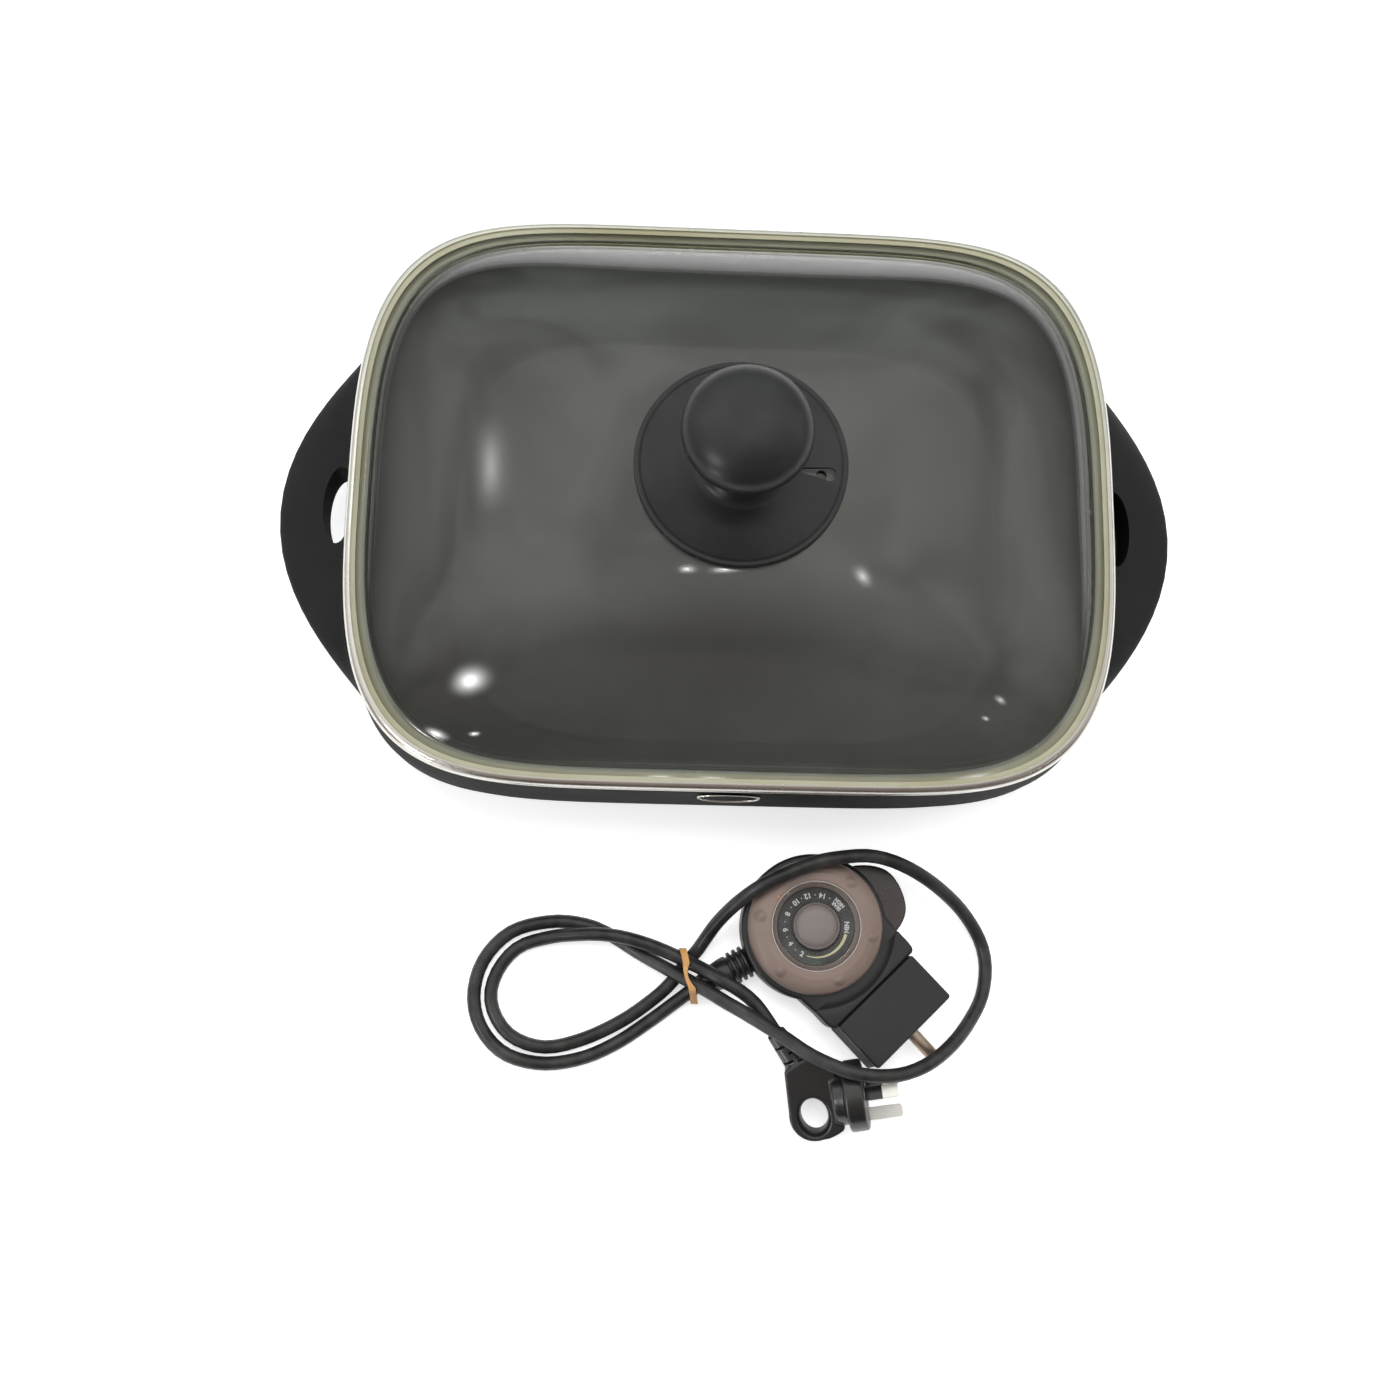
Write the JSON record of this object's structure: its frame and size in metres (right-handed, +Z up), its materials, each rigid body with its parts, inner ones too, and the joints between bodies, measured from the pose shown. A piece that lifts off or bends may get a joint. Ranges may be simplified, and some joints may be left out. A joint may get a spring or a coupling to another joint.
{
  "type": "electric skillet",
  "caption": "Electric frying pan with handled surround, lift-off domed glass lid, vented knob and a plug-in dial heat control on a folded, banded cord.",
  "frame": {"origin": "on the table, under the centre of the box round the skillet and its control, without the cord", "axes": "+X to the right along the handles, towards the probe port; +Y to the back; +Z up"},
  "size_m": [0.461, 0.4555, 0.1924],
  "materials": {
    "black_moulding": "satin black moulding",
    "control_black": "satin black moulding",
    "taupe_moulding": "semi-gloss taupe moulding",
    "plate_black": "smooth black",
    "clear_lens": "clear plastic",
    "tempered_glass": "clear tempered glass",
    "stainless_steel": "polished stainless steel",
    "seal_olive": "olive silicone rubber",
    "pan_coating": "grey non-stick coating",
    "element_steel": "heat-darkened steel",
    "plated_steel": "plated steel",
    "brass": "bare brass",
    "cord_rubber": "black flexible PVC",
    "band_rubber": "tan rubber",
    "foot_rubber": "black rubber"
  },
  "bodies": {
    "skillet": {"pan": "pan_coating", "base_shell": "black_moulding", "probe_port": "black_moulding", "terminal_front": "plated_steel", "terminal_back": "plated_steel", "heating_element": "element_steel", "bottom_cover": "black_moulding", "badge_bezel": "stainless_steel", "badge_plate": "black_moulding", "foot_right_front": "foot_rubber", "foot_screw_right_front": "plated_steel", "foot_right_back": "foot_rubber", "foot_screw_right_back": "plated_steel", "foot_left_front": "foot_rubber", "foot_screw_left_front": "plated_steel", "foot_left_back": "foot_rubber", "foot_screw_left_back": "plated_steel"},
    "lid": {"lid_rim": "stainless_steel", "rim_seal": "seal_olive", "lid_glass": "tempered_glass", "knob_skirt": "black_moulding", "knob_washer": "foot_rubber"},
    "knob": {"knob": "black_moulding", "vent_shutter": "plated_steel", "knob_screw": "stainless_steel"},
    "control": {"control_housing": "control_black", "control_base": "control_black", "contact_block": "control_black", "sensor_probe": "plated_steel", "contact_sleeve_front": "brass", "contact_sleeve_back": "brass", "spring_post": "control_black", "number_plate": "plate_black", "dial_cap": "taupe_moulding", "thermostat_bracket": "plated_steel", "bimetal_blade": "brass", "pilot_lamp": "clear_lens", "strain_relief": "control_black", "cord": "cord_rubber", "rubber_band": "band_rubber", "plug_body": "cord_rubber", "plug_pin_live": "brass", "plug_pin_neutral": "brass", "plug_pin_earth": "brass"},
    "dial": {"dial_ring": "taupe_moulding", "dial_lens": "clear_lens", "dial_sleeve": "brass"},
    "trigger": {"trigger": "taupe_moulding", "trigger_spring": "plated_steel"}
  },
  "joints": [
    {"name": "lid_lift", "type": "slide", "parent": "skillet", "child": "lid", "axis": [0, 0, 1], "range_m": [0, 0.15]},
    {"name": "knob_turn", "type": "hinge", "parent": "lid", "child": "knob", "pos_m": [0, 0.06426, 0.15], "axis": [0, 0, 1], "range_deg": [0, 40]},
    {"name": "control_lift", "type": "slide", "parent": "skillet", "child": "control", "axis": [0, 0, 1], "range_m": [0, 0.1]},
    {"name": "dial_turn", "type": "hinge", "parent": "control", "child": "dial", "pos_m": [0.0478, -0.13934, 0.03], "axis": [0, 0, 1], "range_deg": [-99, 215]},
    {"name": "trigger_squeeze", "type": "slide", "parent": "control", "child": "trigger", "axis": [-0.9171, -0.3987, 0], "range_m": [0, 0.003], "stiffness_N_per_m": 400, "springref_m": -0.002}
  ]
}
